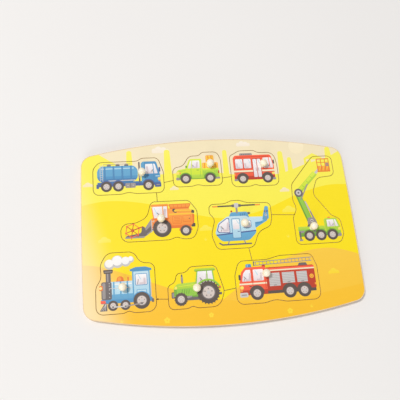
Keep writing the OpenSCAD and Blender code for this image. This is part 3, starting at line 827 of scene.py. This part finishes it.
def flat_loops(node):
    """The outlines of a node's top face, in mm, with the wood on the left as they run."""
    mesh = frame["nodes"][node].data
    top = max(v.co.z for v in mesh.vertices)
    edges = set()
    for face in mesh.polygons:
        corners = [mesh.vertices[v].co for v in face.vertices]
        if face.normal.z > FLAT and all(abs(corner.z - top) < ONE_SPOT for corner in corners):
            ring = [spot(corner) for corner in corners]
            edges |= {(a, b) for a, b in zip(ring, ring[1:] + ring[:1]) if a != b}
    after = {a: b for a, b in edges if (b, a) not in edges}
    loops = []
    while after:
        start, point = min(after.items())
        loop = [start]
        del after[start]
        while point != start:
            loop.append(point)
            point = after.pop(point)
        loops.append(loop)
    return loops


def drawn_in(loop, distance):
    """A loop moved to its left by a distance."""
    moved = []
    for before, at, after in zip(loop[-1:] + loop[:-1], loop, loop[1:] + loop[:1]):
        into = Vector((at[0] - before[0], at[1] - before[1])).normalized()
        out = Vector((after[0] - at[0], after[1] - at[1])).normalized()
        aside = Vector((-into.y - out.y, into.x + out.x))
        span = max(aside.length, LEAST_SPAN)
        reach = distance * min(MITRE, 2 / span) / span
        moved.append((at[0] + aside.x * reach, at[1] + aside.y * reach))
    return moved


def touches(outline, low, high):
    xs, ys = zip(*outline)
    return min(xs) <= high[0] and max(xs) >= low[0] and min(ys) <= high[1] and max(ys) >= low[1]


def cut_up(outlines):
    """Triangles that no outline's edge crosses, each with the outlines that cover it."""
    points, faces = [], []
    for outline in outlines:
        anticlockwise = outline if area(outline) > 0 else outline[::-1]
        faces.append(list(range(len(points), len(points) + len(outline))))
        points.extend(Vector(p) for p in anticlockwise)
    spots, _, triangles, _, _, covers = delaunay_2d_cdt(points, [], faces, 1, SAME_SPOT)
    return spots, [(triangle, set(cover)) for triangle, cover in zip(triangles, covers)]


def closed_sheet(name, spots, triangles, tones):
    """A thin closed mesh over these triangles, which take one tone at each of their corners."""
    used = sorted({v for triangle in triangles for v in triangle})
    place = {v: i for i, v in enumerate(used)}
    count = len(used)
    vertices = [(spots[v].x * MM, spots[v].y * MM, z * MM)
                for z in (FACE_Z + PRINT_RISE, FACE_Z - PRINT_SUNK) for v in used]
    upper = [[place[v] for v in triangle] for triangle in triangles]
    lower = [[v + count for v in reversed(triangle)] for triangle in upper]
    sides = {(a, b) for t in upper for a, b in zip(t, t[1:] + t[:1])}
    walls = [[a, a + count, b + count, b] for a, b in sorted(sides) if (b, a) not in sides]
    tone_at = dict(zip([v for triangle in upper for v in triangle], tones))
    tones = tones + [tone_at[v % count] for face in lower + walls for v in face]
    mesh = bpy.data.meshes.new(name)
    mesh.from_pydata(vertices, [], upper + lower + walls)
    ink = mesh.color_attributes.new("ink", "FLOAT_COLOR", "CORNER")
    ink.data.foreach_set("color", [c for tone in tones for c in (*tone, 1)])
    return mesh


def print_on(node, name, art, material):
    """The printed layer on a node's top face: its shapes, lowest first, as one closed sheet."""
    loops = flat_loops(node)
    solid = [area(loop) > 0 for loop in loops]
    bare = [PRINT_RIM + SANDED_R if node == "face_board" and outer else PRINT_RIM for outer in solid]
    rims = [drawn_in(loop, rim) for loop, rim in zip(loops, bare)]
    cores = [drawn_in(loop, rim + SCORCH) for loop, rim in zip(loops, bare)]
    low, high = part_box(node)
    art = [shape for shape in art if touches(shape[1], low / MM, high / MM)]
    spots, triangles = cut_up([outline for _, outline in art] + rims + cores)
    first_rim, first_core = len(art), len(art) + len(rims)

    def within(cover, first):
        return all((first + i in cover) == inside for i, inside in enumerate(solid))

    spans = [(min(y for _, y in outline), max(y for _, y in outline)) for _, outline in art]
    kept, tones = [], []
    for triangle, cover in triangles:
        if not within(cover, first_rim):
            continue
        shape = max(i for i in cover if i < first_rim)
        foot, head = INKS[art[shape][0]]
        start, end = spans[shape]
        browned = (1, 1, 1) if within(cover, first_core) else SCORCH_TONE
        kept.append(triangle)
        for v in triangle:
            share = (spots[v].y - start) / (end - start)
            tones.append(linear([(f + (h - f) * share) * b for f, h, b in zip(foot, head, browned)]))

    mesh = closed_sheet(name, spots, kept, tones)
    mesh.materials.append(material)
    return add(name, mesh)


# Materials

class Tree:
    """The nodes of a material or of the world, each made and linked in one call."""

    def __init__(self, owner):
        owner.use_nodes = True
        self.owner, self.tree = owner, owner.node_tree
        self.shader = self.tree.nodes.get("Principled BSDF")
        self.coords = self.node("TexCoord").outputs["Object"]

    def put(self, socket, value):
        if isinstance(value, bpy.types.NodeSocket):
            self.tree.links.new(value, socket)
        else:
            socket.default_value = value

    def fill(self, node, **inputs):
        """Links or sets a node's inputs, each under its name with _ for a space."""
        for key, value in inputs.items():
            self.put(node.inputs[key.replace("_", " ")], value)
        return node

    def node(self, kind, settings=None, **inputs):
        """A new shader node of this kind, with its settings and its inputs."""
        made = self.tree.nodes.new("ShaderNode" + kind)
        for key, value in (settings or {}).items():
            setattr(made, key, value)
        return self.fill(made, **inputs)

    def math(self, operation, *values):
        made = self.node("Math", {"operation": operation})
        for socket, value in zip(made.inputs, values):
            self.put(socket, value)
        return made.outputs[0]

    def noise(self, scale, detail=3, roughness=0.55, distortion=0):
        """Noise of so many waves in a metre, along all axes or along each."""
        vector = self.coords
        if isinstance(scale, tuple):
            vector = self.node("Mapping", Vector=self.coords, Scale=scale).outputs[0]
            scale = 1
        return self.node("TexNoise", Vector=vector, Scale=scale, Detail=detail,
                         Roughness=roughness, Distortion=distortion).outputs[0]

    def ramp(self, factor, low, high, to_low=0, to_high=1, smooth=True):
        made = self.node("MapRange", {"interpolation_type": "SMOOTHSTEP" if smooth else "LINEAR"},
                         Value=factor, From_Min=low, From_Max=high, To_Min=to_low, To_Max=to_high)
        return made.outputs[0]

    def mix(self, factor, a, b):
        """One colour turned into another, each from nodes or as sRGB out of 255."""
        made = self.node("Mix", {"data_type": "RGBA"})
        first, second = [c if isinstance(c, bpy.types.NodeSocket) else (*linear(c), 1) for c in (a, b)]
        for socket, value in zip([s for s in made.inputs if s.enabled], (factor, first, second)):
            self.put(socket, value)
        return [s for s in made.outputs if s.enabled][0]

    def darkened(self, colour, by):
        """A colour times a plain number from nodes."""
        made = self.node("VectorMath", {"operation": "SCALE"}, Scale=by)
        self.put(made.inputs[0], colour)
        return made.outputs[0]

    def relief(self, height, distance):
        return self.node("Bump", Height=height, Distance=distance).outputs[0]

    def seen_directly(self):
        """One for what the camera, gloss or glass shows, and nought for what only lights other things."""
        rays = self.node("LightPath").outputs
        gloss_or_glass = self.math("MAXIMUM", rays["Is Glossy Ray"], rays["Is Transmission Ray"])
        return self.math("MAXIMUM", rays["Is Camera Ray"], gloss_or_glass)


# Painted glare: the light inks are paled towards the tray's near left corner, as a glare of light would pale
# them. It starts and ends at distances in mm along a line with the lean given below, and pales them by the
# greatest share given below.
GLARE_STARTS, GLARE_ENDS, GLARE_LEAN, GLARE_MOST = -120, -170, 0.25, 0.75
# The tone that the painted glare pales the light inks to
GLARE_TONE = (250, 236, 196)


def printed():
    """Ink on veneer: the grain and the press's unevenness show through it, under a satin varnish. A painted
    glare also pales its light inks towards the tray's near left corner.
    """
    t = Tree(bpy.data.materials.new("printed_veneer"))
    ink = t.node("VertexColor", {"layer_name": "ink"}).outputs[0]
    grain = t.noise((60, 1300, 1), detail=4, roughness=0.6, distortion=0.2)
    fine = t.noise(2600, detail=1)
    depth = t.math("MULTIPLY_ADD", grain, 0.05, 0.935)
    depth = t.math("MULTIPLY_ADD", t.noise(45, detail=2), 0.03, depth)
    depth = t.math("MULTIPLY_ADD", fine, 0.03, depth)
    # Painted glare: the light inks are paled towards the near left corner, only where both red and green are
    # high
    place = t.node("SeparateXYZ", Vector=t.coords)
    leaning = t.math("MULTIPLY_ADD", place.outputs[1], GLARE_LEAN, place.outputs[0])
    painted_glare = t.ramp(leaning, GLARE_ENDS * MM, GLARE_STARTS * MM, GLARE_MOST, 0.0)
    red, green = t.node("SeparateColor", Color=ink).outputs[:2]
    lightness = t.math("MINIMUM", red, t.math("MULTIPLY", green, 2.0))
    painted_glare = t.math("MULTIPLY", painted_glare, t.ramp(lightness, 0.8, 0.88))
    t.fill(t.shader, Base_Color=t.darkened(t.mix(painted_glare, ink, GLARE_TONE), depth),
           Roughness=t.ramp(grain, 0.3, 0.7, 0.42, 0.54),
           Normal=t.relief(t.math("MULTIPLY_ADD", grain, 0.7, fine), 0.00003),
           Specular_IOR_Level=0.28, Coat_Weight=0.04, Coat_Roughness=0.3)
    return t.owner


# Plywood's tones: its faces, its plies along and across the grain, the glue, and what a cut has browned
FACE_TONES = (240, 218, 182), (228, 200, 158)
LONG_TONES = (238, 214, 176), (214, 178, 130)
END_TONES = (222, 194, 152), (176, 138, 96)
GLUE, BURNT = (146, 106, 68), (176, 128, 80)


def plywood(name, foot_z, plies, sheet_t, brown):
    """Birch plywood: grain on its faces, and on its edges the plies, by turns long grain and end grain."""
    t = Tree(bpy.data.materials.new(name))
    position = t.node("SeparateXYZ", Vector=t.coords)
    normal = t.node("SeparateXYZ", Vector=t.node("NewGeometry").outputs["True Normal"])
    slope_x, slope_y, slope_z = [t.math("ABSOLUTE", share) for share in normal.outputs]
    # Faces
    figure = t.noise((7, 110, 7), detail=4, distortion=0.5)
    fibre = t.noise((70, 1500, 300), detail=4, roughness=0.65)
    face = t.mix(t.ramp(figure, 0.3, 0.75), *FACE_TONES)
    face = t.darkened(face, t.math("MULTIPLY_ADD", fibre, 0.16, 0.91))
    pores = t.ramp(t.noise((110, 2600, 300), detail=2, roughness=0.5), 0.66, 0.74)
    face = t.mix(t.math("MULTIPLY", pores, 0.25), face, END_TONES[1])
    # Edges
    layer = t.math("DIVIDE", t.math("SUBTRACT", position.outputs[2], foot_z * MM), sheet_t / plies * MM)
    wavy = t.math("ADD", layer, t.ramp(t.noise(50, detail=1), 0, 1, -0.06, 0.06))
    turned = t.math("GREATER_THAN", t.math("MODULO", wavy, 2.0), 1.0)
    is_end = t.math("ABSOLUTE", t.math("SUBTRACT", turned, t.math("GREATER_THAN", slope_x, slope_y)))
    streak = t.noise((80, 80, 2200), detail=4, roughness=0.6)
    speck = t.noise((900, 900, 1600), detail=3, roughness=0.7)
    long_side = t.mix(t.ramp(streak, 0.3, 0.7), *LONG_TONES)
    end_side = t.mix(t.ramp(speck, 0.35, 0.68), *END_TONES)
    edge = t.mix(is_end, long_side, end_side)
    off_seam = t.math("SUBTRACT", t.math("FRACT", t.math("ADD", wavy, 0.5)), 0.5)
    wood = t.ramp(t.math("ABSOLUTE", off_seam), 0.03, 0.07)
    edge = t.mix(wood, GLUE, edge)
    burn = t.ramp(t.noise((160, 160, 40), detail=3), 0.2, 0.8, brown * 0.6, brown)
    edge = t.mix(burn, edge, BURNT)
    height = t.math("ADD", fibre, t.math("MULTIPLY", pores, -0.5))
    t.fill(t.shader, Base_Color=t.mix(t.ramp(slope_z, 0.75, 0.95), edge, face),
           Roughness=t.ramp(fibre, 0.3, 0.7, 0.5, 0.66), Normal=t.relief(height, 0.00006))
    return t.owner


BEECH_TONES = (255, 248, 230), (250, 236, 206)
FLECK = (196, 154, 106)


def beech():
    """Turned beech under clear varnish, with the small dark flecks of its rays."""
    t = Tree(bpy.data.materials.new("varnished_beech"))
    growth = t.noise((160, 160, 28), detail=4, distortion=0.6)
    fibre = t.noise((1500, 1500, 90), detail=3)
    colour = t.mix(t.ramp(growth, 0.34, 0.68), *BEECH_TONES)
    colour = t.darkened(colour, t.math("MULTIPLY_ADD", fibre, 0.12, 0.94))
    flecks = t.ramp(t.noise((1400, 1400, 420), detail=1), 0.67, 0.73)
    t.fill(t.shader, Base_Color=t.mix(t.math("MULTIPLY", flecks, 0.4), colour, FLECK),
           Roughness=t.ramp(fibre, 0.3, 0.7, 0.3, 0.42), Normal=t.relief(fibre, 0.00003),
           Coat_Weight=0.3, Coat_Roughness=0.2)
    return t.owner


# Finish of the CAD nodes

# The thickness of each sheet, in mm
BASE_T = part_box("base_board")[1].z / MM
FACE_T = FACE_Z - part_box("face_board")[0].z / MM
# How far the edges of the sheets, the pieces and the pegs are eased, in mm, and which edges count as sharp
SHEET_EASE, PIECE_EASE, PEG_EASE = 0.08, 0.1, 0.15
SHARP = radians(40)


def join_up(node):
    """Joins the vertices that lie on one spot."""
    node.modifiers.new("joined", "WELD").merge_threshold = ONE_SPOT


def ease_tray_edge(node, height):
    """Rounds a sheet's outer edge at one height, as sanding leaves it."""
    outline = max(flat_loops(node.name), key=area)
    sides = {frozenset(side) for side in zip(outline, outline[1:] + outline[:1])}
    weights = node.data.attributes.new("bevel_weight_edge", "FLOAT", "EDGE").data
    for edge in node.data.edges:
        ends = [node.data.vertices[v].co for v in edge.vertices]
        level = all(abs(end.z - height * MM) < ONE_SPOT for end in ends)
        if level and frozenset(spot(end) for end in ends) in sides:
            weights[edge.index].value = 1
    bevel = node.modifiers.new("sanded", "BEVEL")
    bevel.width, bevel.segments = SANDED_R * MM, 4
    bevel.limit_method = "WEIGHT"
    bevel.face_strength_mode = "FSTR_ALL"


def ease_edges(node, width):
    """Takes the sharpness off a CAD solid's edges."""
    bevel = node.modifiers.new("eased", "BEVEL")
    bevel.width, bevel.segments = width * MM, 2
    bevel.limit_method, bevel.angle_limit = "ANGLE", SHARP
    bevel.face_strength_mode = "FSTR_NEW" if "sanded" in node.modifiers else "FSTR_ALL"
    join_up(node)
    node.modifiers.new("flat", "WEIGHTED_NORMAL").use_face_influence = True


def dress(node, material, width, sanded_height=None):
    """Gives a CAD node its material and eased edges. Its level faces stay flat and the rest is smooth."""
    made = frame["nodes"][node]
    made.data.materials.clear()
    made.data.materials.append(material)
    for face in made.data.polygons:
        face.use_smooth = abs(face.normal.z) < FLAT
    join_up(made)
    if sanded_height is not None:
        ease_tray_edge(made, sanded_height)
    ease_edges(made, width)


print_paint = printed()
base_ply = plywood("base_plywood", 0.0, 3, BASE_T, brown=0.05)
tray_ply = plywood("tray_plywood", BASE_T, 5, FACE_T, brown=0.1)
dress("base_board", base_ply, SHEET_EASE, sanded_height=0)
dress("face_board", tray_ply, SHEET_EASE, sanded_height=FACE_Z)
field = shapes_of(BACKGROUND)
tray_print = print_on("face_board", "tray_print", field, print_paint)
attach(tray_print, TRAY)

piece_ply = plywood("piece_plywood", BASE_T, 5, FACE_T, brown=0.25)
peg_wood = beech()
for key in VEHICLES:
    dress(f"{key}_piece", piece_ply, PIECE_EASE)
    dress(f"{key}_peg", peg_wood, PEG_EASE)
    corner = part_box(f"{key}_piece")[0] / MM
    left, foot = corner.x - KERF, corner.y - KERF
    drawing = shapes_of(DRAWINGS[key])
    placed = [(ink, [(left + x, foot + y) for x, y in outline]) for ink, outline in drawing]
    piece_print = print_on(f"{key}_piece", f"{key}_printed", field + placed, print_paint)
    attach(piece_print, key)


# Floor, world and lamps, in metres and watts

# The backdrop's tone and how bright it shows. The floor turns into it between two distances.
STUDIO_TONE = (1, 0.988, 0.972)
BACKDROP_LEVEL = 0.92
FLOOR_TURNS, FLOOR_TURNED = 0.4, 1.3
FLOOR_SIZE = 8.0
FLOOR_TONES = (240, 237, 235), (243, 241, 239)


def floor_paint():
    t = Tree(bpy.data.materials.new("pale_floor"))
    t.fill(t.shader, Base_Color=t.mix(t.noise(3, detail=2), *FLOOR_TONES),
           Roughness=0.9, Specular_IOR_Level=0.1)
    distance = t.node("VectorMath", {"operation": "LENGTH"}, Vector=t.coords).outputs["Value"]
    share = t.math("MULTIPLY", t.ramp(distance, FLOOR_TURNS, FLOOR_TURNED), t.seen_directly())
    backdrop = t.node("Emission", Color=(*STUDIO_TONE, 1), Strength=BACKDROP_LEVEL)
    surface = t.node("MixShader", Fac=share)
    t.put(surface.inputs[1], t.shader.outputs[0])
    t.put(surface.inputs[2], backdrop.outputs[0])
    t.fill(t.tree.nodes["Material Output"], Surface=surface.outputs[0])
    return t.owner


def make_floor():
    bpy.ops.mesh.primitive_plane_add(size=FLOOR_SIZE)
    floor = bpy.context.object
    floor.name = "floor"
    floor.data.materials.append(floor_paint())


def make_world(strength):
    world = bpy.data.worlds.new("studio")
    bpy.context.scene.world = world
    t = Tree(world)
    level = t.ramp(t.seen_directly(), 0, 1, strength, BACKDROP_LEVEL, smooth=False)
    t.fill(t.tree.nodes["Background"], Color=(*STUDIO_TONE, 1), Strength=level)


def make_lamp(name, at, size, power):
    """A round lamp that shines on the middle of the tray."""
    data = bpy.data.lights.new(name, "AREA")
    data.shape, data.size, data.energy = "DISK", size, power
    lamp = add(name, data)
    lamp.location = at
    lamp.rotation_mode = "QUATERNION"
    lamp.rotation_quaternion = (-Vector(at)).to_track_quat("-Z", "Y")


make_floor()
make_world(0.42)
make_lamp("key_lamp", (-1.65, 0.52, 3.7), 0.64, 91)
make_lamp("fill_lamp", (-0.6, -2.0, 0.9), 1.4, 12)

bpy.context.scene.view_settings.view_transform = "Standard"
